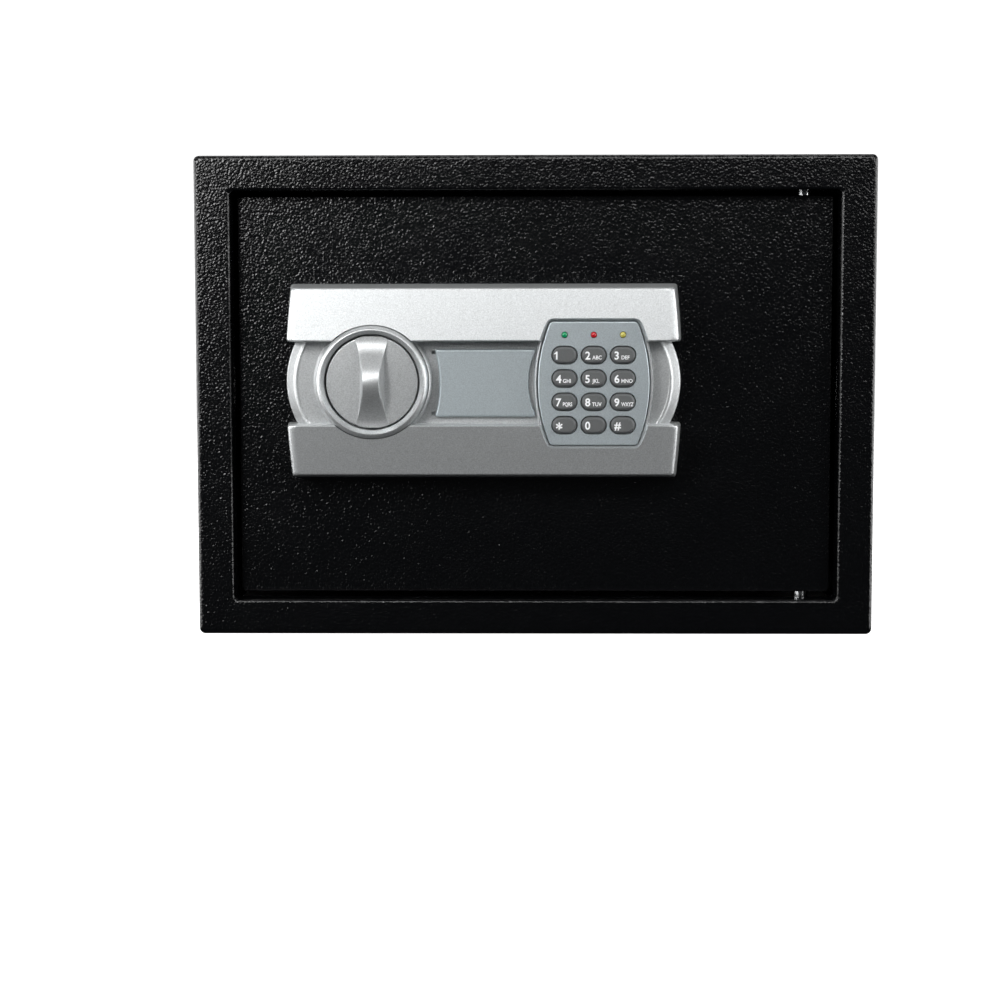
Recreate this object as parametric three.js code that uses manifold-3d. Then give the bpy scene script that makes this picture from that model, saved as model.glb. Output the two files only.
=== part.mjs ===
// Small front-opening home safe with an electronic keypad lock.
// Millimetres. +X is to the right, +Y to the back, +Z up; the door faces -Y.
// The origin is the centre of the safe's underside.
import * as THREE from 'three';
import { mergeVertices } from 'three/addons/utils/BufferGeometryUtils.js';
import Module from 'manifold-3d';

const wasm = await Module();
wasm.setup();

// ---------------------------------------------------------------- driving dimensions
const GAP = 0.3; // air left between pieces that rest on each other
const ROUND = 20; // facets on a full circle
const SMALL_ROUND = 12; // and on small turned pieces

const BODY_WIDTH = 350;
const BODY_DEPTH = 250;
const BODY_HEIGHT = 247;
const BODY_RADIUS = 3;
const SHEET = 2; // steel sheet of the body
const FRONT = -BODY_DEPTH / 2;
const BACK = BODY_DEPTH / 2;

const LIP_SIDE = 18.5; // visible width of the front frame at the sides
const LIP_END = 18; // and at top and bottom
const OPENING_RADIUS = 2.5;
const RETURN_DEPTH = 14; // the frame's flange runs this far inwards

const DOOR_WIDTH = 308;
const DOOR_HEIGHT = 206;
const DOOR_THICKNESS = 4;
const DOOR_RECESS = 12; // the door's face lies this far behind the frame's
const DOOR_BOTTOM = 21;
const DOOR_MIDDLE = DOOR_BOTTOM + DOOR_HEIGHT / 2;

const HINGE_X = 140;
const PIN_RADIUS = 4;
const PIN_LENGTH = 51;
const PIN_REACH = 12; // how far a pin stands out of the door's edge
const BEHIND_DOOR = DOOR_THICKNESS + GAP; // where pieces fixed to the door's back begin
const HINGE_DEPTH = BEHIND_DOOR + PIN_RADIUS; // axis behind the door's face

const PANEL_X = -26.5; // centre of the lock panel on the door
const PANEL_Z = 7.5;
const PANEL_HALF_WIDTH = 103; // at mid height, on the door
const PANEL_HALF_HEIGHT = 50;
const PANEL_SIDE_RADIUS = 430;
const BAR_INNER = 20.5; // the bars begin this far from the panel's middle line
const BAR_RISE = 26; // heights above the door's face
const CHANNEL_RISE = 15;
const DRAFT = 0.17; // sideways draft per unit of rise
const WALL = 2.5;
const CENTRE_SPACING = 56.5; // knob and keypad stand this far from the panel's middle
const POD_RADIUS = 45.3; // round ends of the channel, about knob and keypad

const BEZEL_RADIUS = 28.8;
const BEZEL_RISE = 27.5;
const KNOB_RADIUS = 23.5;
const KNOB_RISE = 23;
const GRIP_RISE = 33;
const GRIP_END = 9; // half width of the grip at the rim
const GRIP_WAIST = 4.7; // and in the middle

const KEYPAD_DROP = -0.8; // the keypad's centre lies just below the panel's
const KEYPAD_HALF_HEIGHT = 31.4;
const KEYPAD_HALF_WIDTH = 22.1; // at top and bottom
const KEYPAD_BULGE = 6.3; // the sides bow out by this at mid height
const KEYPAD_RISE = 23;
const KEYPAD_THICKNESS = 3;
const RIM_WIDTH = 1.8; // raised rim about the keypad, across the channel
const RIM_RISE = 22.3;
const KEY_PITCH_X = 14.85;
const KEY_PITCH_Z = 11.87;
const KEY_TOP_ROW = 14.4;
const KEY_WIDTH = 12.5;
const KEY_HEIGHT = 8.6;
const KEY_PROUD = 1.4; // keys stand this far out of their plate
const KEY_DEPTH = 7;
const KEY_SEGMENTS = 3; // the same on keys and on their holes, so that the gap stays even
const LED_ROW = 24.7;
const LED_RADIUS = 1.5;

const COVER_DROP = -0.6; // the key cover's middle, from the panel's
const COVER_HALF_HEIGHT = 17.3;
const COVER_LEFT_X = -22.4; // its hollow ends at mid height
const COVER_RIGHT_X = 23.3;
const COVER_LEFT_RADIUS = 63;
const COVER_RIGHT_RADIUS = 38.5;
const COVER_RISE = 18.3;

const SHAFT_RADIUS = 6;
const CRANK_RADIUS = 14;
const CRANK_ARM = 7; // the crank pin sits this far right of and above the shaft's axis
const CRANK_PIN = 2.5;
const THROW = 14; // travel of the bolts
const BOLT_RADIUS = 9;
const BOLT_SPACING = 38; // bolts above and below the knob's axis
const BOLT_TIP = -153;
const BOLT_DEPTH = BEHIND_DOOR + BOLT_RADIUS + 0.2; // bolt axis behind the door's face
const FLANGE_X = -118; // the carriage's bent end, which holds the bolts
const CARRIAGE_DEPTH = 21; // front face of the carriage behind the door's face
const CARRIAGE_RIGHT = -38;
const CARRIAGE_LOW = -4;
const CARRIAGE_HIGH = 26;
const NOTCH_DEPTH = 5;
const PLUNGER_X = -60;
const PLUNGER_RADIUS = 3.5;
const STUD_XS = [-105, -62];
const STUD_Z = 3;

const COVER_LEFT = -112; // inner cover of the lock
const COVER_RIGHT = 110;
const COVER_LOW = -54;
const COVER_HIGH = 71;
const COVER_BACK = 43;
const RIM = 8;
const SCREW_X = 95;
const BATTERY_X = 58;
const BATTERY_Z = 8;
const BATTERY_BAY_WIDTH = 72;
const BATTERY_BAY_HEIGHT = 68;
const BATTERY_RADIUS = 7.25;
const BATTERY_LENGTH = 50.5;
const RESET_X = 5;
const RESET_Z = -20;
const RESET_RADIUS = 3;

// ---------------------------------------------------------------- materials
function paint(color, roughness, metalness = 0) {
  return new THREE.MeshStandardMaterial({ color, roughness, metalness });
}

const blackCoat = paint(0x15161a, 0.45);
const silverPaint = paint(0xb4b7b8, 0.4, 0.55);
const satinPlate = paint(0xa3adb3, 0.45, 0.5);
const keyGrey = paint(0x6a6f72, 0.6);
const zinc = paint(0xa7a9a6, 0.4, 0.9);
const steel = paint(0xc8cacb, 0.22, 1);
const brass = paint(0xb89248, 0.35, 0.9);
const blackPlastic = paint(0x1c1c1e, 0.6);
const felt = paint(0x26272a, 0.95);
const boardGreen = paint(0x1e5b36, 0.5);
const siliconeWhite = paint(0xc9ccc8, 0.7);
const copper = paint(0xb06a3c, 0.35, 0.8);
const batteryWrap = paint(0x25272b, 0.3);
const resetRed = paint(0xb3261e, 0.4);

// ---------------------------------------------------------------- solid modelling
function toSolid(geometry) {
  const bare = geometry.clone();
  bare.deleteAttribute('normal');
  bare.deleteAttribute('uv');
  const welded = mergeVertices(bare, 1e-4);
  const corners = welded.index.array;
  const triangles = [];
  for (let i = 0; i < corners.length; i += 3) {
    const [a, b, c] = [corners[i], corners[i + 1], corners[i + 2]];
    if (a !== b && b !== c && c !== a) triangles.push(a, b, c);
  }
  return new wasm.Manifold(new wasm.Mesh({
    numProp: 3,
    vertProperties: new Float32Array(welded.attributes.position.array),
    triVerts: new Uint32Array(triangles),
  }));
}

function toGeometry(solid) {
  const mesh = solid.getMesh();
  const geometry = new THREE.BufferGeometry();
  geometry.setAttribute('position', new THREE.Float32BufferAttribute(mesh.vertProperties, 3));
  geometry.setIndex(Array.from(mesh.triVerts));
  const flat = geometry.toNonIndexed();
  flat.computeVertexNormals();
  return flat;
}

function combine(method, first, others) {
  let solid = toSolid(first);
  for (const other of others) solid = solid[method](toSolid(other));
  return toGeometry(solid);
}

const join = (first, ...others) => combine('add', first, others);
const cut = (first, ...others) => combine('subtract', first, others);
const overlap = (first, ...others) => combine('intersect', first, others);

// ---------------------------------------------------------------- basic forms
// Outlines are drawn in the XZ plane and given a thickness along Y.

function rectangle(width, height, radius, x = 0, z = 0) {
  const shape = new THREE.Shape();
  const [right, top] = [x + width / 2 - radius, z + height / 2 - radius];
  const [left, bottom] = [x - width / 2 + radius, z - height / 2 + radius];
  shape.absarc(right, top, radius, 0, Math.PI / 2);
  shape.absarc(left, top, radius, Math.PI / 2, Math.PI);
  shape.absarc(left, bottom, radius, Math.PI, 1.5 * Math.PI);
  shape.absarc(right, bottom, radius, 1.5 * Math.PI, 2 * Math.PI);
  shape.closePath();
  return shape;
}

// A slot with round ends whose middle line runs from (x0, z0) to (x1, z1), along X or Z.
function slot(x0, z0, x1, z1, radius) {
  const shape = new THREE.Shape();
  const turn = Math.atan2(z1 - z0, x1 - x0);
  shape.absarc(x1, z1, radius, turn - Math.PI / 2, turn + Math.PI / 2);
  shape.absarc(x0, z0, radius, turn + Math.PI / 2, turn + 1.5 * Math.PI);
  shape.closePath();
  return shape;
}

function circle(x, z, radius) {
  return rectangle(2 * radius, 2 * radius, radius, x, z);
}

function slab(shape, front, back, curveSegments = 2) {
  const geometry = new THREE.ExtrudeGeometry(shape, {
    depth: back - front, bevelEnabled: false, curveSegments,
  });
  return geometry.rotateX(Math.PI / 2).translate(0, back, 0);
}

function block(left, right, front, back, bottom, top) {
  const geometry = new THREE.BoxGeometry(right - left, back - front, top - bottom);
  return geometry.translate((left + right) / 2, (front + back) / 2, (bottom + top) / 2);
}

// Rods along each axis, between two places on it.
function rodY(radius, front, back, x = 0, z = 0) {
  const geometry = new THREE.CylinderGeometry(radius, radius, back - front, ROUND);
  return geometry.translate(x, (front + back) / 2, z);
}

function rodX(radius, left, right, y = 0, z = 0) {
  const geometry = new THREE.CylinderGeometry(radius, radius, right - left, ROUND);
  return geometry.rotateZ(Math.PI / 2).translate((left + right) / 2, y, z);
}

function rodZ(radius, bottom, top, x = 0, y = 0) {
  const geometry = new THREE.CylinderGeometry(radius, radius, top - bottom, ROUND);
  return geometry.rotateX(Math.PI / 2).translate(x, y, (bottom + top) / 2);
}

// A turned piece about the Y axis; points are [radius, place along Y], from low to high Y.
function turned(points, sides = ROUND) {
  return new THREE.LatheGeometry(points.map(([r, y]) => new THREE.Vector2(r, y)), sides);
}

// A moulded block on the door's face: the outline, shrunk by offset, narrows towards its front.
// Its arcs have few segments, because each must stay longer than the whole inset.
function drafted([shape, rise, curveSegments], offset = 0, back = 0) {
  const foot = 1;
  const inset = (rise - foot) * DRAFT;
  const both = new THREE.ExtrudeGeometry(shape, {
    depth: foot, bevelEnabled: true, bevelSegments: 1, curveSegments,
    bevelThickness: rise - foot, bevelSize: inset, bevelOffset: -inset - offset,
  });
  both.rotateX(Math.PI / 2);
  const reach = 2 * PANEL_HALF_WIDTH;
  return overlap(both, block(-reach, reach, -rise - 1, back, -reach, reach));
}

function piece(parent, name, geometry, material, x = 0, y = 0, z = 0) {
  const mesh = new THREE.Mesh(geometry, material);
  mesh.name = name;
  mesh.position.set(x, y, z);
  parent.add(mesh);
  return mesh;
}

function groupAt(parent, x, y, z) {
  const group = new THREE.Group();
  group.position.set(x, y, z);
  parent.add(group);
  return group;
}

// ---------------------------------------------------------------- cabinet
const ANCHOR_RADIUS = 5;
const ANCHOR_X = 75;
const FLOOR_ANCHOR_Y = 20;

function bodyWrap() {
  const shape = rectangle(BODY_WIDTH, BODY_HEIGHT, BODY_RADIUS);
  shape.holes.push(rectangle(BODY_WIDTH - 2 * SHEET, BODY_HEIGHT - 2 * SHEET, BODY_RADIUS - SHEET));
  const wrap = slab(shape, FRONT + SHEET + GAP, BACK);
  const under = -BODY_HEIGHT / 2;
  const anchors = [-ANCHOR_X, ANCHOR_X].map(
    (x) => rodZ(ANCHOR_RADIUS, under - 1, under + SHEET + 1, x, FLOOR_ANCHOR_Y));
  return cut(wrap, ...anchors);
}

function frontFrame() {
  const width = BODY_WIDTH - 2 * LIP_SIDE;
  const height = BODY_HEIGHT - 2 * LIP_END;
  const face = rectangle(BODY_WIDTH, BODY_HEIGHT, BODY_RADIUS);
  face.holes.push(rectangle(width, height, OPENING_RADIUS));
  const flange = rectangle(width + 2 * SHEET, height + 2 * SHEET, OPENING_RADIUS + SHEET);
  flange.holes.push(rectangle(width, height, OPENING_RADIUS));
  return join(slab(face, FRONT, FRONT + SHEET), slab(flange, FRONT + SHEET / 2, FRONT + RETURN_DEPTH));
}

function backPanel() {
  const inset = 2 * (SHEET + GAP);
  const shape = rectangle(BODY_WIDTH - inset, BODY_HEIGHT - inset, BODY_RADIUS - SHEET);
  for (const x of [-ANCHOR_X, ANCHOR_X]) shape.holes.push(circle(x, 0, ANCHOR_RADIUS));
  return slab(shape, BACK - SHEET, BACK);
}

// A bent lug on the side wall that carries a hinge pin; side is 1 at the top, -1 at the bottom.
function hingeBracket(side) {
  const wall = BODY_WIDTH / 2 - SHEET - GAP - HINGE_X;
  const plate = 3;
  const lug = block(-11, wall, -6, 10, -plate / 2, plate / 2);
  const [low, high] = side > 0 ? [-28, plate / 2] : [-plate / 2, 28];
  const leg = block(wall - 2.5, wall, -6, 10, low, high);
  return cut(join(lug, leg), rodZ(PIN_RADIUS + GAP, -plate, plate));
}

const MAT_THICKNESS = 3;
const MAT_MARGIN = 4;

function buildCabinet(safe) {
  const cabinet = groupAt(safe, 0, 0, 0);
  piece(cabinet, 'body_wrap', bodyWrap(), blackCoat, 0, 0, BODY_HEIGHT / 2);
  piece(cabinet, 'front_frame', frontFrame(), blackCoat, 0, 0, BODY_HEIGHT / 2);
  piece(cabinet, 'back_panel', backPanel(), blackCoat, 0, 0, BODY_HEIGHT / 2);

  const matFront = FRONT + RETURN_DEPTH + MAT_MARGIN;
  const matBack = BACK - SHEET - MAT_MARGIN;
  const matHalf = BODY_WIDTH / 2 - SHEET - MAT_MARGIN;
  const mat = block(-matHalf, matHalf, matFront, matBack, 0, MAT_THICKNESS);
  piece(cabinet, 'floor_mat', mat, felt, 0, 0, SHEET + GAP);

  const hingeY = FRONT + DOOR_RECESS + HINGE_DEPTH;
  const lugOut = 7.5; // lug's middle beyond the door's edge
  const doorTop = DOOR_BOTTOM + DOOR_HEIGHT;
  piece(cabinet, 'upper_hinge_bracket', hingeBracket(1), zinc, HINGE_X, hingeY, doorTop + lugOut);
  piece(cabinet, 'lower_hinge_bracket', hingeBracket(-1), zinc, HINGE_X, hingeY, DOOR_BOTTOM - lugOut);
}

// ---------------------------------------------------------------- door
const SCREW_SHANK = 2;
const RIM_SHEET = 2;
const SCREW_ZS = [COVER_LOW - RIM / 2, COVER_HIGH + RIM / 2];
const SCREW_BITE = 1.7; // the shank's depth in the door plate
const LOCK_HOLE = 10;
const SHAFT_HOLE = SHAFT_RADIUS + 1;
const CABLE_HOLE = 8;

function screwPlaces() {
  return SCREW_ZS.flatMap((z) => [-SCREW_X, SCREW_X].map((x) => [x, z]));
}

function doorPlate() {
  const through = [
    [PANEL_X - CENTRE_SPACING, SHAFT_HOLE],
    [PANEL_X, LOCK_HOLE],
    [PANEL_X + CENTRE_SPACING, CABLE_HOLE],
  ].map(([x, radius]) => rodY(radius, -1, DOOR_THICKNESS + 1, x, PANEL_Z));
  const threads = screwPlaces().map(
    ([x, z]) => rodY(SCREW_SHANK + GAP, DOOR_THICKNESS - SCREW_BITE - GAP, DOOR_THICKNESS + 1, x, z));
  return cut(slab(rectangle(DOOR_WIDTH, DOOR_HEIGHT, 2), 0, DOOR_THICKNESS), ...through, ...threads);
}

function buildDoorPlate(door) {
  piece(door, 'door_plate', doorPlate(), blackCoat);
  const pin = rodZ(PIN_RADIUS, -PIN_LENGTH / 2, PIN_LENGTH / 2);
  const pinZ = DOOR_HEIGHT / 2 + PIN_REACH - PIN_LENGTH / 2;
  piece(door, 'upper_hinge_pin', pin, steel, HINGE_X, HINGE_DEPTH, pinZ);
  piece(door, 'lower_hinge_pin', pin.clone(), steel, HINGE_X, HINGE_DEPTH, -pinZ);
}

// ---------------------------------------------------------------- lock panel
function barOutline(side) {
  const shape = new THREE.Shape();
  const centre = PANEL_HALF_WIDTH - PANEL_SIDE_RADIUS;
  const inner = Math.asin(BAR_INNER / PANEL_SIDE_RADIUS);
  const outer = Math.asin(PANEL_HALF_HEIGHT / PANEL_SIDE_RADIUS);
  const [low, high] = side > 0 ? [inner, outer] : [-outer, -inner];
  shape.absarc(centre, 0, PANEL_SIDE_RADIUS, low, high);
  shape.absarc(-centre, 0, PANEL_SIDE_RADIUS, Math.PI - high, Math.PI - low);
  shape.closePath();
  return shape;
}

function podOutline() {
  const shape = new THREE.Shape();
  const turn = Math.asin((BAR_INNER + 5) / POD_RADIUS);
  shape.absarc(CENTRE_SPACING, 0, POD_RADIUS, -turn, turn);
  shape.absarc(-CENTRE_SPACING, 0, POD_RADIUS, Math.PI - turn, Math.PI + turn);
  shape.closePath();
  return shape;
}

function keypadOutline(grow = 0) {
  const shape = new THREE.Shape();
  const half = KEYPAD_HALF_HEIGHT + grow;
  const radius = (half * half + KEYPAD_BULGE * KEYPAD_BULGE) / (2 * KEYPAD_BULGE);
  const turn = Math.asin(half / radius);
  const centre = KEYPAD_HALF_WIDTH + grow + KEYPAD_BULGE - radius;
  shape.absarc(centre, 0, radius, -turn, turn);
  shape.absarc(-centre, 0, radius, Math.PI - turn, Math.PI + turn);
  shape.closePath();
  return shape;
}

function panelHousing() {
  const blocks = [[barOutline(1), BAR_RISE, 2], [barOutline(-1), BAR_RISE, 2], [podOutline(), CHANNEL_RISE, 4]];
  const knobX = -CENTRE_SPACING;
  const keypadX = CENTRE_SPACING;
  const bezelSeat = rodY(BEZEL_RADIUS + 1.7, -CHANNEL_RISE - 4, -1, knobX);
  const rim = slab(keypadOutline(RIM_WIDTH), -RIM_RISE, -1).translate(keypadX, 0, KEYPAD_DROP);
  const shell = join(...blocks.map((outer) => drafted(outer)), bezelSeat, rim);

  const guards = [
    rodY(BEZEL_RADIUS + WALL, -BAR_RISE, WALL - CHANNEL_RISE, knobX),
    slab(keypadOutline(WALL), -BAR_RISE, WALL + KEYPAD_THICKNESS - KEYPAD_RISE)
      .translate(keypadX, 0, KEYPAD_DROP),
  ];
  const hollows = blocks.map(([shape, rise, segments]) => drafted([shape, rise - WALL, segments], WALL, 0.5));
  const hollow = cut(join(...hollows), ...guards);

  const bezelWell = rodY(BEZEL_RADIUS + GAP, -BAR_RISE - 1, -CHANNEL_RISE, knobX);
  const pocket = slab(keypadOutline(0.4), -BAR_RISE - 1, KEYPAD_THICKNESS + GAP - KEYPAD_RISE);
  pocket.translate(keypadX, 0, KEYPAD_DROP);
  const window = slab(rectangle(44, 58, 3), -KEYPAD_RISE, 0).translate(keypadX, 0, KEYPAD_DROP);
  const boardBay = slab(rectangle(56, 64, 2), -CHANNEL_RISE + 1.6, 1).translate(keypadX, 0, KEYPAD_DROP);
  const shaftHole = rodY(SHAFT_HOLE, -BAR_RISE, 1, knobX);
  const lockHole = rodY(LOCK_HOLE, -BAR_RISE, 1);
  return cut(shell, hollow, bezelWell, pocket, window, boardBay, shaftHole, lockHole);
}

function knobBezel() {
  const inner = KNOB_RADIUS + 0.9;
  const foot = -CHANNEL_RISE - GAP;
  return turned([
    [inner, foot], [inner, 2 - BEZEL_RISE], [inner + 1.5, -BEZEL_RISE], [BEZEL_RADIUS - 1.4, -BEZEL_RISE],
    [BEZEL_RADIUS, 2 - BEZEL_RISE], [BEZEL_RADIUS, foot], [inner, foot],
  ]);
}

function keyPlaces() {
  const rows = [0, 1, 2, 3].map((row) => KEY_TOP_ROW - row * KEY_PITCH_Z);
  return rows.flatMap((z) => [-KEY_PITCH_X, 0, KEY_PITCH_X].map((x) => [x, z]));
}

function keypadPlate() {
  const shape = keypadOutline();
  const reach = (KEY_WIDTH - KEY_HEIGHT) / 2;
  for (const [x, z] of keyPlaces()) {
    shape.holes.push(slot(x - reach, z, x + reach, z, KEY_HEIGHT / 2 + GAP));
  }
  for (const x of [-KEY_PITCH_X, 0, KEY_PITCH_X]) shape.holes.push(circle(x, LED_ROW, LED_RADIUS + 0.2));
  return slab(shape, -KEYPAD_RISE, KEYPAD_THICKNESS - KEYPAD_RISE, KEY_SEGMENTS);
}

// A key is a pill-shaped button with a softened front edge.
function key() {
  const soft = 0.6;
  const reach = (KEY_WIDTH - KEY_HEIGHT) / 2;
  const geometry = new THREE.ExtrudeGeometry(slot(-reach, 0, reach, 0, KEY_HEIGHT / 2), {
    depth: KEY_DEPTH - 2 * soft, bevelThickness: soft, bevelSize: soft, bevelOffset: -soft,
    bevelSegments: 1, curveSegments: KEY_SEGMENTS,
  });
  return geometry.rotateX(Math.PI / 2).translate(0, -soft, 0);
}

function keyCover() {
  const shape = new THREE.Shape();
  const right = Math.asin(COVER_HALF_HEIGHT / COVER_RIGHT_RADIUS);
  const left = Math.asin(COVER_HALF_HEIGHT / COVER_LEFT_RADIUS);
  const rightCentre = COVER_RIGHT_X + COVER_RIGHT_RADIUS;
  shape.absarc(rightCentre, 0, COVER_RIGHT_RADIUS, Math.PI + right, Math.PI - right, true);
  shape.absarc(COVER_LEFT_X - COVER_LEFT_RADIUS, 0, COVER_LEFT_RADIUS, left, -left, true);
  shape.closePath();
  return slab(shape, -COVER_RISE, -CHANNEL_RISE - GAP);
}

function buildPanel(door) {
  const panel = groupAt(door, PANEL_X, 0, PANEL_Z);
  piece(panel, 'panel_housing', panelHousing(), silverPaint);
  piece(panel, 'knob_bezel', knobBezel(), silverPaint, -CENTRE_SPACING, 0, 0);
  piece(panel, 'key_cover', keyCover(), satinPlate, 0, 0, COVER_DROP);

  const keypad = groupAt(panel, CENTRE_SPACING, 0, KEYPAD_DROP);
  piece(keypad, 'keypad_plate', keypadPlate(), satinPlate);
  const labels = ['1', '2', '3', '4', '5', '6', '7', '8', '9', 'star', '0', 'hash'];
  const keyBack = KEY_DEPTH - KEYPAD_RISE - KEY_PROUD;
  keyPlaces().forEach(([x, z], i) => {
    piece(keypad, `key_${labels[i]}`, key(), keyGrey, x, keyBack, z);
  });
  const led = turned([[0, 0], [LED_RADIUS, 0.8], [LED_RADIUS, 8], [0, 8]], SMALL_ROUND);
  const leds = [['green', 0x1f9a5f], ['red', 0xb3202c], ['yellow', 0xc9c233]];
  leds.forEach(([name, color], i) => {
    piece(keypad, `led_${name}`, led.clone(), paint(color, 0.2), (i - 1) * KEY_PITCH_X,
      -KEYPAD_RISE - 0.7, LED_ROW);
  });
  const matFront = keyBack + 1.3;
  piece(keypad, 'key_mat', slab(rectangle(40, 46, 2, 0, -4), matFront, matFront + 3), siliconeWhite);
  const boardFront = matFront + 3 + GAP;
  piece(keypad, 'circuit_board', slab(rectangle(54, 62, 2), boardFront, boardFront + 1.6), boardGreen);
}

// ---------------------------------------------------------------- knob and its crank
const KNOB_BACK = -CHANNEL_RISE - 1;
const CRANK_FRONT = 16; // behind the door's face
const CRANK_THICKNESS = 3;

function gripOutline() {
  const shape = new THREE.Shape();
  const end = Math.asin(GRIP_END / KNOB_RADIUS);
  const depth = GRIP_END - GRIP_WAIST;
  const half = KNOB_RADIUS * Math.cos(end);
  const radius = (half * half + depth * depth) / (2 * depth);
  const turn = Math.asin(half / radius);
  shape.absarc(0, 0, KNOB_RADIUS, Math.PI / 2 - end, Math.PI / 2 + end);
  shape.absarc(-GRIP_WAIST - radius, 0, radius, turn, -turn, true);
  shape.absarc(0, 0, KNOB_RADIUS, 1.5 * Math.PI - end, 1.5 * Math.PI + end);
  shape.absarc(GRIP_WAIST + radius, 0, radius, Math.PI + turn, Math.PI - turn, true);
  shape.closePath();
  return shape;
}

function knobGeometry() {
  const disc = rodY(KNOB_RADIUS, -KNOB_RISE, KNOB_BACK);
  const archRadius = 35;
  const arch = rodX(archRadius, -KNOB_RADIUS, KNOB_RADIUS, archRadius - GRIP_RISE);
  const grip = overlap(slab(gripOutline(), -GRIP_RISE - 1, 1 - KNOB_RISE, 4), arch);
  return cut(join(disc, grip), rodY(SHAFT_RADIUS + GAP, 2 - KNOB_RISE, 0));
}

function knobShaft() {
  const shaft = rodY(SHAFT_RADIUS, 2 + GAP - KNOB_RISE, CRANK_FRONT + 1);
  const disc = rodY(CRANK_RADIUS, CRANK_FRONT, CRANK_FRONT + CRANK_THICKNESS);
  const pinFront = CRANK_FRONT + 1;
  return join(shaft, disc, rodY(CRANK_PIN, pinFront, pinFront + 8, CRANK_ARM, CRANK_ARM));
}

function buildKnob(door) {
  const knob = groupAt(door, PANEL_X - CENTRE_SPACING, 0, PANEL_Z);
  piece(knob, 'knob', knobGeometry(), silverPaint);
  piece(knob, 'knob_shaft', knobShaft(), zinc);
}

// ---------------------------------------------------------------- bolt work behind the door
const BOLT_ZS = [PANEL_Z - BOLT_SPACING, PANEL_Z + BOLT_SPACING];

function carriagePlate() {
  const back = CARRIAGE_DEPTH + SHEET;
  const stem = block(FLANGE_X + 1, CARRIAGE_RIGHT, CARRIAGE_DEPTH, back, CARRIAGE_LOW, CARRIAGE_HIGH);
  const flangeHalf = BOLT_SPACING + BOLT_RADIUS + 1;
  const flange = block(FLANGE_X, FLANGE_X + SHEET, 7.5, back, PANEL_Z - flangeHalf, PANEL_Z + flangeHalf);
  const [near, far] = [CARRIAGE_DEPTH - 1, back + 1];
  const guides = STUD_XS.map((x) => slab(slot(x - 0.3, STUD_Z, x + THROW + 0.3, STUD_Z, 2.9), near, far));
  const pinX = PANEL_X - CENTRE_SPACING + CRANK_ARM;
  const pinZ = PANEL_Z + CRANK_ARM;
  const yoke = slab(slot(pinX, pinZ - 0.4, pinX, pinZ + 3.3, CRANK_PIN + 0.6), near, far);
  const notches = [PLUNGER_X, PLUNGER_X + THROW].map((x) => {
    const half = PLUNGER_RADIUS + 0.4;
    return block(x - half, x + half, near, far, CARRIAGE_HIGH - NOTCH_DEPTH, CARRIAGE_HIGH + 1);
  });
  return cut(join(stem, flange), ...guides, yoke, ...notches);
}

function boltGuideBracket() {
  const [left, right] = [-136, -133];
  const wall = block(left, right, BEHIND_DOOR, 24, BOLT_ZS[0] - 14, BOLT_ZS[1] + 14);
  const foot = block(right - 1, right + 12, BEHIND_DOOR, BEHIND_DOOR + 2.5, PANEL_Z - 24, PANEL_Z + 24);
  const bores = BOLT_ZS.map((z) => rodX(BOLT_RADIUS + 0.4, left - 1, right + 1, BOLT_DEPTH, z));
  return cut(join(wall, foot), ...bores);
}

function bolt() {
  const length = FLANGE_X - GAP - BOLT_TIP;
  return turned([[0, 0], [BOLT_RADIUS, 0], [BOLT_RADIUS, length - 2], [BOLT_RADIUS - 2, length], [0, length]])
    .rotateZ(Math.PI / 2);
}

function guideStud() {
  const neck = CARRIAGE_DEPTH - 0.4;
  const head = CARRIAGE_DEPTH + SHEET + 0.5;
  return turned([
    [0, BEHIND_DOOR], [4, BEHIND_DOOR], [4, neck], [CRANK_PIN, neck], [CRANK_PIN, head],
    [4.5, head], [4.5, head + 2], [0, head + 2],
  ], SMALL_ROUND);
}

const SOLENOID_LOW = 32;
const SOLENOID_HIGH = 64;
const SOLENOID_HALF = 12;
const PLUNGER_DEPTH = CARRIAGE_DEPTH + SHEET / 2;
const PLUNGER_LOW = CARRIAGE_HIGH + 0.5;
const PLUNGER_HIGH = 60;

function solenoidFrame() {
  const [width, height] = [2 * SOLENOID_HALF, SOLENOID_HIGH - SOLENOID_LOW];
  const shape = rectangle(width, height, 1);
  shape.holes.push(rectangle(width - 2 * SHEET, height - 2 * SHEET, 0.5));
  const ring = slab(shape, BEHIND_DOOR, PLUNGER_DEPTH + 11);
  const mouth = rodZ(PLUNGER_RADIUS + 0.6, -height / 2 - 1, -height / 2 + SHEET + 1, 0, PLUNGER_DEPTH);
  return cut(ring, mouth);
}

function solenoidCoil() {
  const [low, high] = [SOLENOID_LOW + SHEET + GAP, SOLENOID_HIGH - SHEET - GAP];
  const bore = rodZ(PLUNGER_RADIUS + 0.4, low - 1, PLUNGER_HIGH + 0.5);
  return cut(rodZ(SOLENOID_HALF - SHEET - 0.4, low, high), bore);
}

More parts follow.
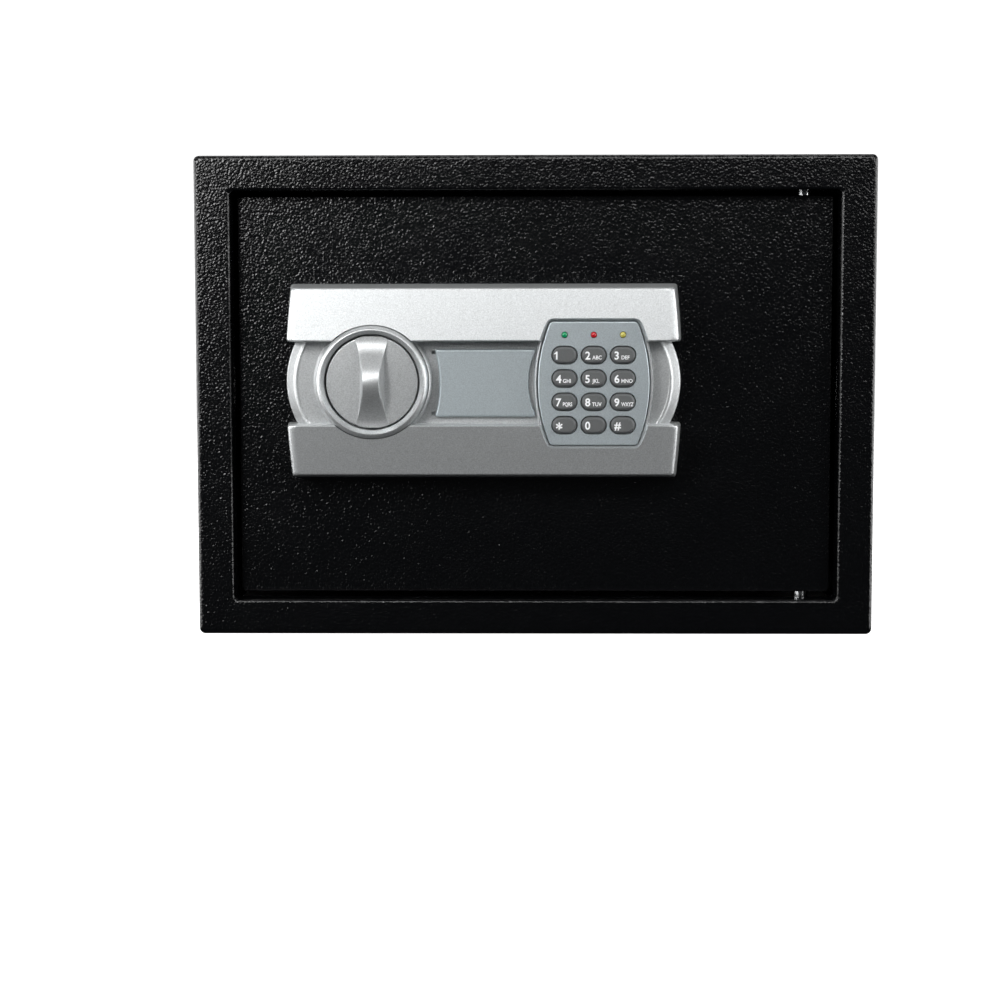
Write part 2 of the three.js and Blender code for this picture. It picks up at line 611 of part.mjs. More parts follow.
function buildBoltWork(door) {
  piece(door, 'bolt_guide_bracket', boltGuideBracket(), zinc);
  piece(door, 'carriage_plate', carriagePlate(), zinc);
  const names = ['lower_bolt', 'upper_bolt'];
  names.forEach((name, i) => {
    piece(door, name, bolt(), steel, FLANGE_X - GAP, BOLT_DEPTH, BOLT_ZS[i]);
  });
  STUD_XS.forEach((x, i) => piece(door, `guide_stud_${i + 1}`, guideStud(), zinc, x, 0, STUD_Z));

  const middle = (SOLENOID_LOW + SOLENOID_HIGH) / 2;
  piece(door, 'solenoid_frame', solenoidFrame(), zinc, PLUNGER_X, 0, middle);
  piece(door, 'solenoid_coil', solenoidCoil(), copper, PLUNGER_X, PLUNGER_DEPTH, 0);
  const plunger = rodZ(PLUNGER_RADIUS, PLUNGER_LOW, PLUNGER_HIGH);
  piece(door, 'solenoid_plunger', plunger, steel, PLUNGER_X, PLUNGER_DEPTH, 0);
}

// ---------------------------------------------------------------- emergency key lock
const BARREL_FRONT = 1 - CHANNEL_RISE;
const BARREL_BACK = 15;
const PLUG_RADIUS = 5;
const CAM_FRONT = 16.5;
const CAM_REACH = 18;

function keyPlug() {
  const plug = rodY(PLUG_RADIUS, BARREL_FRONT + GAP, CAM_FRONT + 1);
  const cam = slab(slot(0, 0, 0, -CAM_REACH + 4, 4), CAM_FRONT, CAM_FRONT + 2);
  const keyway = block(-0.6, 0.6, BARREL_FRONT - 1, BARREL_FRONT + 10, -3.5, 3.5);
  return cut(join(plug, cam), keyway);
}

function buildKeyLock(door) {
  const lock = groupAt(door, PANEL_X, 0, PANEL_Z);
  const barrel = cut(
    rodY(LOCK_HOLE - 0.5, BARREL_FRONT, BARREL_BACK),
    rodY(PLUG_RADIUS + GAP, BARREL_FRONT - 1, BARREL_BACK + 1));
  piece(lock, 'lock_barrel', barrel, brass);
  piece(lock, 'key_plug', keyPlug(), steel);
}

// ---------------------------------------------------------------- inner cover and batteries
const COVER_SHEET = 2;
const COVER_MIDDLE_X = (COVER_LEFT + COVER_RIGHT) / 2;
const COVER_MIDDLE_Z = (COVER_LOW + COVER_HIGH) / 2;
const TRAY_DEPTH = 19;
const BATTERY_PITCH = 16.5;

function lockCover() {
  const [width, height] = [COVER_RIGHT - COVER_LEFT, COVER_HIGH - COVER_LOW];
  const inner = COVER_BACK - COVER_SHEET;
  const shell = slab(rectangle(width, height, 3, COVER_MIDDLE_X, COVER_MIDDLE_Z), BEHIND_DOOR, COVER_BACK);
  const rimShape = rectangle(width, height + 2 * RIM, 3, COVER_MIDDLE_X, COVER_MIDDLE_Z);
  const rim = slab(rimShape, BEHIND_DOOR, BEHIND_DOOR + RIM_SHEET);
  const hollowShape = rectangle(
    width - 2 * COVER_SHEET, height - 2 * COVER_SHEET, 1, COVER_MIDDLE_X, COVER_MIDDLE_Z);
  const hollow = slab(hollowShape, 0, inner);
  const mouth = block(COVER_LEFT - 1, COVER_LEFT + COVER_SHEET + 1, 0, CARRIAGE_DEPTH + SHEET + 3,
    CARRIAGE_LOW - 3, CARRIAGE_HIGH + 3);
  const bayShape = rectangle(BATTERY_BAY_WIDTH, BATTERY_BAY_HEIGHT, 1.5, BATTERY_X, BATTERY_Z);
  const bay = slab(bayShape, inner - 1, COVER_BACK + 1);
  const reset = rodY(RESET_RADIUS + 0.4, inner - 1, COVER_BACK + 1, RESET_X, RESET_Z);
  const screws = screwPlaces().map(([x, z]) => rodY(SCREW_SHANK + GAP, 0, BEHIND_DOOR + RIM_SHEET + 1, x, z));
  return cut(join(shell, rim), hollow, mouth, bay, reset, ...screws);
}

function coverScrew() {
  const seat = BEHIND_DOOR + RIM_SHEET + GAP;
  const tip = DOOR_THICKNESS - SCREW_BITE;
  return turned([[0, tip], [SCREW_SHANK, tip], [SCREW_SHANK, seat], [4, seat], [3.4, seat + 2], [0, seat + 2.4]],
    SMALL_ROUND);
}

function batteryTray() {
  const [width, height] = [BATTERY_BAY_WIDTH - 1, BATTERY_BAY_HEIGHT - 1];
  const wall = 1.5;
  const back = COVER_BACK - COVER_SHEET - GAP;
  const outside = slab(rectangle(width, height, 1.5), back - TRAY_DEPTH, back);
  return cut(outside, slab(rectangle(width - 2 * wall, height - 2 * wall, 0.5), back - TRAY_DEPTH + wall, back + 1));
}

function battery() {
  const half = BATTERY_LENGTH / 2;
  const shoulder = half - 1;
  return turned([
    [0, -half], [BATTERY_RADIUS, -half], [BATTERY_RADIUS, shoulder], [2.7, shoulder], [2.7, half], [0, half],
  ]).rotateX(Math.PI / 2);
}

function buildInnerCover(door) {
  piece(door, 'lock_cover', lockCover(), blackPlastic);
  screwPlaces().forEach(([x, z], i) => piece(door, `cover_screw_${i + 1}`, coverScrew(), steel, x, 0, z));
  const bay = groupAt(door, BATTERY_X, 0, BATTERY_Z);
  piece(bay, 'battery_tray', batteryTray(), blackPlastic);
  const depth = COVER_BACK - COVER_SHEET - GAP - TRAY_DEPTH / 2 + 0.5;
  for (let i = 0; i < 4; i += 1) {
    const cell = battery();
    if (i % 2 === 1) cell.rotateY(Math.PI);
    piece(bay, `battery_${i + 1}`, cell, batteryWrap, (i - 1.5) * BATTERY_PITCH, depth, 0);
  }
  const lid = rectangle(BATTERY_BAY_WIDTH - 0.8, BATTERY_BAY_HEIGHT - 0.8, 1.2);
  piece(bay, 'battery_cover', slab(lid, COVER_BACK - COVER_SHEET, COVER_BACK), blackPlastic);
  const button = rodY(RESET_RADIUS, COVER_BACK - 7, COVER_BACK + 2);
  piece(door, 'reset_button', button, resetRed, RESET_X, 0, RESET_Z);
}

// ---------------------------------------------------------------- assembly
function buildSafe() {
  const safe = new THREE.Group();
  safe.name = 'safe';
  buildCabinet(safe);
  const door = groupAt(safe, 0, FRONT + DOOR_RECESS, DOOR_MIDDLE);
  buildDoorPlate(door);
  buildPanel(door);
  buildKnob(door);
  buildBoltWork(door);
  buildKeyLock(door);
  buildInnerCover(door);
  return safe;
}

export default buildSafe();
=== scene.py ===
"""Looks of a small home safe with an electronic keypad lock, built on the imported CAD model.

Forms are drawn in millimetres, in the model's own frame, and become metres when a mesh is made.
+X is to the right, +Y to the back, +Z up, and "rise" is a height in front of the door's face.
"""

import math

import bmesh
import bpy
from mathutils import Matrix, Vector


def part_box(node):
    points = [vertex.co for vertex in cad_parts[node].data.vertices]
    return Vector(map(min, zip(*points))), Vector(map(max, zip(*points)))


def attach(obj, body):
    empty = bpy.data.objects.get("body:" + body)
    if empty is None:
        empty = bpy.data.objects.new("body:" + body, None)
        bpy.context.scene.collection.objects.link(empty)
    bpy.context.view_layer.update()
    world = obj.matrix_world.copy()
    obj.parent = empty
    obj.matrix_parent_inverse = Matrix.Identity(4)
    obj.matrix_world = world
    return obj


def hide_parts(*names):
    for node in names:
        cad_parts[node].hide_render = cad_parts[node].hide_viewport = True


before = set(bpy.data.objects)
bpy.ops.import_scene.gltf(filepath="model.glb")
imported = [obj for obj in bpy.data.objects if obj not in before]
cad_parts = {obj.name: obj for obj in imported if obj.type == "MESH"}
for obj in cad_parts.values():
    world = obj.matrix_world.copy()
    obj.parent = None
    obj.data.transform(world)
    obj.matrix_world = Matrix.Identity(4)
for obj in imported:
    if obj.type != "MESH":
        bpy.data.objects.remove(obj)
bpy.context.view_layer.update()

MM = 0.001
scene = bpy.context.scene


def cad(node):
    """Lowest and highest corner of a CAD node, in millimetres."""
    low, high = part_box(node)
    return low / MM, high / MM


def middle(node):
    low, high = cad(node)
    return (low + high) / 2


# ---------------------------------------------------------------- camera
CAMERA_PLACE = (-0.00072, -1.16989, 0.16345)
CAMERA_PITCH, CAMERA_YAW, CAMERA_ROLL = -0.089, -0.0165, -0.0012  # radians
CAMERA_LENS = 73.0

camera_data = bpy.data.cameras.new("camera")
camera_data.lens = CAMERA_LENS
camera_data.sensor_width = 36.0
camera_data.clip_start = 0.05
camera_data.clip_end = 50.0
camera = bpy.data.objects.new("camera", camera_data)
camera.matrix_world = (
    Matrix.Translation(CAMERA_PLACE)
    @ Matrix.Rotation(-CAMERA_YAW, 4, "Z")
    @ Matrix.Rotation(math.pi / 2 + CAMERA_PITCH, 4, "X")
    @ Matrix.Rotation(CAMERA_ROLL, 4, "Z")
)
scene.collection.objects.link(camera)
scene.camera = camera


# ---------------------------------------------------------------- materials
def blank_material(name, colour, roughness, metallic=0.0, **sockets):
    """A Principled material. Extra sockets are given by name, with _ for a space."""
    material = bpy.data.materials.new(name)
    material.use_nodes = True
    shader = material.node_tree.nodes["Principled BSDF"]
    values = {"Base_Color": (*colour, 1), "Roughness": roughness, "Metallic": metallic, **sockets}
    for socket, value in values.items():
        shader.inputs[socket.replace("_", " ")].default_value = value
    return material


def node(material, kind, inputs=(), **settings):
    made = material.node_tree.nodes.new(kind)
    for key, value in settings.items():
        setattr(made, key, value)
    for socket, value in dict(inputs).items():
        if hasattr(value, "links"):
            material.node_tree.links.new(value, made.inputs[socket])
        else:
            made.inputs[socket].default_value = value
    return made


def to_shader(material, socket, output):
    shader = material.node_tree.nodes["Principled BSDF"]
    material.node_tree.links.new(output, shader.inputs[socket])


def places(material):
    return node(material, "ShaderNodeTexCoord").outputs["Object"]


def noise(material, size, detail=2.0, rough=0.5, distortion=0.0):
    """Noise whose features are about size millimetres across, as a value about 0.5."""
    made = node(material, "ShaderNodeTexNoise", {
        "Vector": places(material), "Scale": 1 / (size * MM), "Detail": detail,
        "Roughness": rough, "Distortion": distortion,
    })
    return made.outputs["Fac"]


def ranged(material, value, low, high, start=0.3, end=0.7):
    made = node(material, "ShaderNodeMapRange", {
        "Value": value, "From Min": start, "From Max": end, "To Min": low, "To Max": high,
    })
    return made.outputs["Result"]


def blended(material, factor, first, second):
    made = node(material, "ShaderNodeMix", data_type="RGBA")
    links = material.node_tree.links
    links.new(factor, made.inputs[0])
    made.inputs[6].default_value = (*first, 1)
    made.inputs[7].default_value = (*second, 1)
    return made.outputs[2]


def relief(material, value, height):
    """Bumps of the value's shape, height millimetres high."""
    made = node(material, "ShaderNodeBump", {
        "Height": value, "Distance": height * MM, "Strength": 1.0,
    })
    to_shader(material, "Normal", made.outputs["Normal"])


def grained(name, colour, roughness, metallic, grain, spread, height, rough_spread=0.02, **sockets):
    """An even finish with a fine grain: its colour and gloss vary, and it has a slight relief."""
    material = blank_material(name, colour, roughness, metallic, **sockets)
    fine = noise(material, grain, 3.0, 0.65)
    dark = tuple(c * (1 - spread) for c in colour)
    light = tuple(min(1.0, c * (1 + spread)) for c in colour)
    to_shader(material, "Base Color", blended(material, ranged(material, fine, 0, 1), dark, light))
    cloud = noise(material, 30 * grain, 3.0)
    to_shader(material, "Roughness", ranged(
        material, cloud, roughness - rough_spread / 2, roughness + rough_spread / 2))
    relief(material, fine, height)
    return material


def powder_coat():
    """Wrinkled black powder coat: close-set rounded grains over a millimetre across, semi-gloss."""
    material = blank_material("powder_coat", (0.0012, 0.0013, 0.0017), 0.22, 0.0, Specular_IOR_Level=0.5)
    drift = node(material, "ShaderNodeTexNoise", {
        "Vector": places(material), "Scale": 1 / (1.6 * MM), "Detail": 1.0})
    push = node(material, "ShaderNodeVectorMath", {0: drift.outputs["Color"], "Scale": 0.8 * MM},
                operation="SCALE")
    shifted = node(material, "ShaderNodeVectorMath", {0: places(material), 1: push.outputs[0]},
                   operation="ADD")
    grains = node(material, "ShaderNodeTexVoronoi", {
        "Vector": shifted.outputs[0], "Scale": 1 / (1.25 * MM), "Smoothness": 0.7}, feature="SMOOTH_F1")
    swell = noise(material, 1.1, 1.0)
    heights = node(material, "ShaderNodeMath", {
        0: ranged(material, grains.outputs["Distance"], 1.0, 0.0, 0.0, 0.7),
        1: ranged(material, swell, 0.0, 0.55),
    }, operation="ADD")
    relief(material, heights.outputs[0], 0.13)
    wide = noise(material, 18.0, 3.0)
    to_shader(material, "Roughness", ranged(material, wide, 0.17, 0.2))
    to_shader(material, "Base Color", blended(
        material, ranged(material, swell, 0, 1), (0.0008, 0.0009, 0.0012), (0.0016, 0.0018, 0.0023)))
    return material


MATERIALS = {
    "black_coat": powder_coat(),
    "silver_paint": grained("silver_paint", (0.56, 0.575, 0.58), 0.4, 0.74, 0.6, 0.2, 0.014),
    "satin_plate": grained("satin_plate", (0.53, 0.59, 0.615), 0.4, 0.72, 0.55, 0.14, 0.012),
    "key_grey": grained("key_grey", (0.1, 0.104, 0.105), 0.45, 0.0, 0.35, 0.10, 0.008),
    "zinc": grained("zinc", (0.55, 0.55, 0.52), 0.32, 0.95, 3.5, 0.14, 0.006, 0.16),
    "polished_steel": grained("polished_steel", (0.72, 0.73, 0.74), 0.16, 1.0, 1.2, 0.03, 0.002, 0.10),
    "brass": grained("brass", (0.62, 0.42, 0.15), 0.28, 1.0, 1.0, 0.08, 0.004, 0.14),
    "copper": grained("copper", (0.62, 0.28, 0.13), 0.3, 0.9, 0.5, 0.12, 0.03),
    "black_plastic": grained("black_plastic", (0.012, 0.012, 0.013), 0.5, 0.0, 0.5, 0.2, 0.03),
    "circuit_board": grained("circuit_board", (0.01, 0.10, 0.035), 0.35, 0.0, 1.5, 0.2, 0.01),
    "silicone": grained("silicone", (0.55, 0.57, 0.55), 0.6, 0.0, 0.8, 0.05, 0.01),
    "battery_wrap": grained("battery_wrap", (0.014, 0.015, 0.018), 0.25, 0.0, 4.0, 0.2, 0.004),
    "reset_red": grained("reset_red", (0.55, 0.02, 0.015), 0.4, 0.0, 0.6, 0.06, 0.006),
    "led_green": grained("led_green", (0.0, 0.22, 0.08), 0.12, 0.0, 1.5, 0.2, 0.003,
                         Emission_Color=(0.0, 0.5, 0.2, 1), Emission_Strength=0.06, Coat_Weight=0.6),
    "led_red": grained("led_red", (0.42, 0.005, 0.012), 0.12, 0.0, 1.5, 0.2, 0.003,
                       Emission_Color=(0.8, 0.02, 0.03, 1), Emission_Strength=0.08, Coat_Weight=0.6),
    "led_yellow": grained("led_yellow", (0.45, 0.40, 0.08), 0.12, 0.0, 1.5, 0.2, 0.003,
                          Emission_Color=(0.7, 0.65, 0.1, 1), Emission_Strength=0.06, Coat_Weight=0.6),
}
INK = grained("white_ink", (0.86, 0.87, 0.88), 0.5, 0.0, 0.3, 0.04, 0.004)


def felt():
    """Short grey felt: fine crossing fibres over soft blotches."""
    material = blank_material("felt", (0.03, 0.03, 0.033), 0.95, Sheen_Weight=0.5, Sheen_Roughness=0.6)
    fibres = noise(material, 0.35, 6.0, 0.75, 1.5)
    blotch = noise(material, 7.0, 4.0, 0.6)
    both = node(material, "ShaderNodeMath", {0: fibres, 1: ranged(material, blotch, -0.15, 0.15)},
                operation="ADD")
    to_shader(material, "Base Color", blended(
        material, ranged(material, both.outputs[0], 0, 1), (0.016, 0.016, 0.018), (0.06, 0.06, 0.066)))
    relief(material, both.outputs[0], 0.35)
    return material


MATERIALS["felt"] = felt()


# ---------------------------------------------------------------- outlines, in the XZ plane
def arc(x, z, radius, start, end, steps):
    """Points of an arc about (x, z) between two angles in radians, both ends included."""
    turns = [start + (end - start) * k / steps for k in range(steps + 1)]
    return [(x + radius * math.cos(t), z + radius * math.sin(t)) for t in turns]


def rounded(corners, steps=5):
    """The outline through (x, z, radius) corners; a radius turns a corner into an arc that touches
    both of its sides."""
    outline = []
    for i, (x, z, radius) in enumerate(corners):
        here = Vector((x, z))
        if radius == 0:
            outline.append((x, z))
            continue
        before = (Vector(corners[i - 1][:2]) - here).normalized()
        after = (Vector(corners[(i + 1) % len(corners)][:2]) - here).normalized()
        half = before.angle(after) / 2
        centre = here + (before + after).normalized() * (radius / math.sin(half))
        reach = radius / math.tan(half)
        first = here + before * reach - centre
        last = here + after * reach - centre
        start = math.atan2(first.y, first.x)
        turn = (math.atan2(last.y, last.x) - start + math.pi) % (2 * math.pi) - math.pi
        outline += arc(centre.x, centre.y, radius, start, start + turn, steps)
    return outline


def rectangle(left, right, low, high, radius, steps=5):
    """Gives the outline for an inset, with the corner radius shrinking by the inset."""
    def shape(inset):
        r = max(radius - inset, 0.05)
        return rounded([
            (right - inset, low + inset, r), (right - inset, high - inset, r),
            (left + inset, high - inset, r), (left + inset, low + inset, r)], steps)
    return shape


def circle(x, z, radius, sides=64):
    def shape(inset):
        return arc(x, z, radius - inset, 0, 2 * math.pi, sides)[:-1]
    return shape


def pill(x, z, width, height, steps=14):
    def shape(inset):
        radius = height / 2 - inset
        reach = (width - height) / 2
        quarter = math.pi / 2
        return (arc(x + reach, z, radius, -quarter, quarter, steps)
                + arc(x - reach, z, radius, quarter, 3 * quarter, steps))
    return shape


# ---------------------------------------------------------------- meshes
def to_object(name, points, faces):
    mesh = bpy.data.meshes.new(name)
    mesh.from_pydata([Vector(p) * MM for p in points], [], faces)
    work = bmesh.new()
    work.from_mesh(mesh)
    bmesh.ops.remove_doubles(work, verts=work.verts, dist=1e-7)
    bmesh.ops.recalc_face_normals(work, faces=work.faces)
    work.to_mesh(mesh)
    work.free()
    made = bpy.data.objects.new(name, mesh)
    scene.collection.objects.link(made)
    return made


def loft(name, rings, closed=False):
    """A solid through rings of equal length: capped at both ends, or closed on itself."""
    count = len(rings[0])
    points = [p for ring in rings for p in ring]
    spans = len(rings) if closed else len(rings) - 1
    faces = []
    for k in range(spans):
        a, b = k * count, (k + 1) % len(rings) * count
        for i in range(count):
            j = (i + 1) % count
            faces.append((a + i, a + j, b + j, b + i))
    if not closed:
        faces.append(tuple(range(count)))
        faces.append(tuple(range(len(points) - count, len(points))))
    return to_object(name, points, faces)


def flat_ring(outline, y):
    return [(x, y, z) for x, z in outline]


def quarter(steps=4):
    """(inset, setback) of a unit rounded edge, from the face to the side wall."""
    turns = [math.pi / 2 * k / steps for k in range(steps + 1)]
    return [(1 - math.sin(t), 1 - math.cos(t)) for t in turns]


def slab(name, shape, front, back, edge=0.4, back_edge=0.0, steps=4):
    """A plate between two places on Y, with its front and back edges rounded."""
    stations = [(edge * i, front + edge * s) for i, s in quarter(steps)]
    if back_edge:
        stations += [(back_edge * i, back - back_edge * s) for i, s in reversed(quarter(steps))]
    else:
        stations.append((0, back))
    return loft(name, [flat_ring(shape(inset), y) for inset, y in stations])


SHARP = 0.01  # the edge of a cutter, small enough to leave the cut square

AXES = {"X": Matrix.Rotation(-math.pi / 2, 3, "Z"), "Y": Matrix.Identity(3),
        "Z": Matrix.Rotation(math.pi / 2, 3, "X")}


def turned(name, profile, origin, axis="Y", sides=64):
    """A solid of revolution about an axis through origin; profile is (radius, distance along it)."""
    turn = AXES[axis]
    rings = []
    for radius, along in profile:
        outline = circle(0, 0, max(radius, 0.02), sides)(0)
        rings.append([Vector(origin) + turn @ Vector((x, along, z)) for x, z in outline])
    return loft(name, rings)


def softened(length, radius, edge, steps=3):
    """Profile of a rod with both ends rounded."""
    low = [(radius - edge * i, edge * s) for i, s in quarter(steps)]
    high = [(radius - edge * i, length - edge * s) for i, s in reversed(quarter(steps))]
    return [(0, 0)] + low + high + [(0, length)]


def box_shape(name, low, high, edge=0.4):
    """A block with rounded edges."""
    return slab(name, rectangle(low[0], high[0], low[2], high[2], edge), low[1], high[1], edge, edge)


def combine(base, operation, *others):
    """base with the others joined to it or cut from it; the others are used up."""
    for other in others:
        step = base.modifiers.new(other.name, "BOOLEAN")
        step.operation = operation
        step.object = other
        step.solver = "EXACT"
    dg = bpy.context.evaluated_depsgraph_get()
    mesh = bpy.data.meshes.new_from_object(base.evaluated_get(dg))
    base.modifiers.clear()
    base.data = mesh
    for other in others:
        bpy.data.objects.remove(other)
    return base


def place(piece, body, slot, *nodes, crease=32):
    """Shades the piece, gives it its finish, and sets it on its body in place of CAD nodes."""
    piece.data.materials.clear()
    piece.data.materials.append(MATERIALS[slot])
    for face in piece.data.polygons:
        face.use_smooth = True
        face.material_index = 0
    piece.data.set_sharp_from_angle(angle=math.radians(crease))
    weighted = piece.modifiers.new("even_shading", "WEIGHTED_NORMAL")
    weighted.keep_sharp = True
    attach(piece, body)
    if nodes:
        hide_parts(*nodes)
    return piece


# ---------------------------------------------------------------- places taken from the CAD model
DOOR_LOW, DOOR_HIGH = cad("door_plate")
FACE = DOOR_LOW.y  # the door's front face
KNOB = middle("knob_bezel")
KEYPAD = middle("keypad_plate")
PANEL_X = (KNOB.x + KEYPAD.x) / 2
PANEL_Z = KNOB.z
SPACING = (KEYPAD.x - KNOB.x) / 2


def at_rise(rise):
    return FACE - rise


# ---------------------------------------------------------------- cabinet
def cabinet_shell():
    """The wrapped sheet with its rounded front edges, the front lip and the lip's inner flange."""
    low, high = cad("front_frame")
    wrap_high = cad("body_wrap")[1]
    half_width = high.x
    half_height = (high.z - low.z) / 2
    height = (high.z + low.z) / 2
    sheet, bend, turn_in = 2.0, 2.4, 1.6
    opening_x = DOOR_HIGH.x + 2.5
    opening_z = (DOOR_HIGH.z - DOOR_LOW.z) / 2 + 2.5
    lip_x, lip_z = half_width - opening_x, half_height - opening_z
    front, back, flange = low.y, wrap_high.y, high.y
    profile = [(0, 3.0, back)]
    profile += [(bend * i, 3.0, front + bend * s) for i, s in reversed(quarter(5))]
    turn = [(1 - turn_in / lip_x * i, front + turn_in * s) for i, s in quarter(5)]
    rings = []

    def ring(inset_x, inset_z, radius, y):
        shape = rectangle(-half_width + inset_x, half_width - inset_x,
                          height - half_height + inset_z, height + half_height - inset_z, radius, 6)
        rings.append(flat_ring(shape(0), y))

    for inset, radius, y in profile:
        ring(inset, inset, radius, y)
    for share, y in turn:
        ring(lip_x * share, lip_z * share, 2.5, y)
    ring(lip_x, lip_z, 2.5, flange)
    ring(lip_x - sheet, lip_z - sheet, 4.5, flange)
    ring(lip_x - sheet, lip_z - sheet, 4.5, front + sheet)
    ring(sheet, sheet, 1.0, front + sheet)
    ring(sheet, sheet, 1.0, back)
    shell = loft("cabinet_shell", rings, closed=True)
    anchors = []
    for x in (-75, 75):
        anchors.append(turned("anchor", [(0, -2), (5, -2), (5, 5), (0, 5)], (x, 20, 0), "Z"))
    combine(shell, "DIFFERENCE", *anchors)
    return place(shell, "cabinet", "black_coat", "body_wrap", "front_frame")


def back_panel():
    low, high = cad("back_panel")
    seam = 0.35  # welded to the wrap all round
    panel = slab("back_sheet", rectangle(low.x - seam, high.x + seam, low.z - seam, high.z + seam, 1.5),
                 low.y, high.y - 0.2, 0.1, 0.4)
    height = (low.z + high.z) / 2
    holes = [slab("hole", circle(x, height, 5), low.y - 1, high.y + 1, SHARP) for x in (-75, 75)]
    combine(panel, "DIFFERENCE", *holes)
    return place(panel, "cabinet", "black_coat", "back_panel")


def floor_mat():
    """Felt laid on the floor of the cabinet: slightly uneven, with soft cut edges."""
    low, high = cad("floor_mat")
    across, along = 58, 40
    points, faces = [], []
    for side in (1, 0):
        for j in range(along + 1):
            for i in range(across + 1):
                x = low.x + (high.x - low.x) * i / across
                y = low.y + (high.y - low.y) * j / along
                edge = min(i, across - i, j, along - j)
                sag = 0.25 * math.sin(x * 0.05 + 1.3) * math.cos(y * 0.06)
                thick = (0.62 if edge == 0 else 1.0) * (high.z - low.z - 0.4)
                points.append((x, y, low.z + (thick + sag * (edge > 0) if side else 0)))
    row = across + 1
    layer = row * (along + 1)
    for j in range(along):
        for i in range(across):
            a = j * row + i
            faces.append((a, a + 1, a + row + 1, a + row))
            faces.append((layer + a + row, layer + a + row + 1, layer + a + 1, layer + a))
    rim = ([(j, j + 1) for j in range(across)]
           + [(j * row + across, (j + 1) * row + across) for j in range(along)]
           + [(along * row + i + 1, along * row + i) for i in reversed(range(across))]
           + [((j + 1) * row, j * row) for j in reversed(range(along))])
    faces += [(layer + a, layer + b, b, a) for a, b in rim]
    mat = to_object("felt_mat", points, faces)
    place(mat, "cabinet", "felt", "floor_mat", crease=60)
    return mat


def hinge_lug(name, node_name, side):
    low, high = cad(node_name)
    pin = middle("upper_hinge_pin" if side > 0 else "lower_hinge_pin")
    plate = 3.0
    lug_low = high.z - plate if side > 0 else low.z
    lug = box_shape(name, (low.x, low.y, lug_low), (high.x, high.y, lug_low + plate), 0.5)
    leg = box_shape("leg", (high.x - 2.5, low.y, low.z), high, 0.5)
    combine(lug, "UNION", leg)
    bore = turned("bore", [(0, -8), (4.3, -8), (4.3, 8), (0, 8)], (pin.x, pin.y, lug_low), "Z")
    combine(lug, "DIFFERENCE", bore)
    return place(lug, "cabinet", "black_coat", node_name)


# ---------------------------------------------------------------- door
def door_leaf():
    low, high = DOOR_LOW, DOOR_HIGH
    leaf = slab("door_leaf", rectangle(low.x, high.x, low.z, high.z, 2), low.y, high.y, 0.9, 0.5)
    holes = [slab("hole", circle(x, PANEL_Z, radius), low.y - 1, high.y + 1, SHARP)
             for x, radius in ((KNOB.x, 7), (PANEL_X, 10), (KEYPAD.x, 8))]
    combine(leaf, "DIFFERENCE", *holes)
    return place(leaf, "door", "black_coat", "door_plate")


def hinge_pin(node_name):
    low, high = cad(node_name)
    spot = middle(node_name)
    rod = turned(node_name + "_rod", softened(high.z - low.z, 4, 0.8), (spot.x, spot.y, low.z), "Z")
    return place(rod, "door", "polished_steel", node_name)


# ---------------------------------------------------------------- lock panel
BAR_RISE = 26.0
CHANNEL_RISE = 15.0
SIDE_RADIUS = 430.0
HALF_WIDTH = 103.0
BAR_INNER, BAR_OUTER = 20.2, 50.2
LOWER_INNER = 21.4  # the lower bar starts a little farther out than the upper one
BAR_LEAN = 0.16  # the bars' faces fall back towards their outer edges
SIDE_DRAFT, OUTER_DRAFT, INNER_DRAFT = 0.11, 0.09, 0.015


def bar(side, name):
    """One of the panel's two raised bars: drafted walls, wide rounded ends, a leaning face."""
    inner = BAR_INNER if side > 0 else LOWER_INNER

    def shape(side_inset, end_inset):
        radius = SIDE_RADIUS - side_inset
        low, high = inner + end_inset[0], BAR_OUTER - end_inset[1]
        marks = [low + (high - low) * k / 6 for k in range(7)]

        def across(v):
            return HALF_WIDTH - SIDE_RADIUS + math.sqrt(radius * radius - v * v)
        right = [(across(v), v, 1.6 if k in (0, 6) else 0) for k, v in enumerate(marks)]
        left = [(-u, v, r) for u, v, r in reversed(right)]
        return [(PANEL_X + u, side * v) for u, v in rounded(right + left, 4)]

    inner_edge, outer_edge, side_edge, depth = 0.8, 1.3, 4.2, 2.6
    wall = BAR_RISE - depth
    stations = [(0, 0, (0, 0))]
    for k in range(7):
        turn = math.pi / 2 * k / 6
        edge = 1 - math.cos(turn)
        stations.append((BAR_RISE - depth * (1 - math.sin(turn)), wall * SIDE_DRAFT + side_edge * edge,
                         (wall * INNER_DRAFT + inner_edge * edge, wall * OUTER_DRAFT + outer_edge * edge)))
    rings = []
    for rise, side_inset, end_inset in stations:
        rings.append([
            (x, at_rise(rise * (1 - BAR_LEAN * (abs(v) - BAR_INNER) / BAR_RISE)), PANEL_Z + v)
            for x, v in shape(side_inset, end_inset)])
    return loft(name, rings)


def pod(name):
    """The channel's floor between the bars, with round ends that slope down to the door."""
    def shape(radius):
        turn = math.asin(25 / 45)
        right = arc(PANEL_X + SPACING, PANEL_Z, radius, -turn, turn, 24)
        left = arc(PANEL_X - SPACING, PANEL_Z, radius, math.pi - turn, math.pi + turn, 24)
        return right + left

    stations = [(0, 45.5), (10.2, 45.1), (10.7, 44.8), (10.9, 44.3), (14.0, 41.5), (14.8, 40.7),
                (15.2, 40.1), (15.3, 39.5), (15.2, 38.9), (CHANNEL_RISE, 38.5)]
    return loft(name, [flat_ring(shape(radius), at_rise(rise)) for rise, radius in stations])


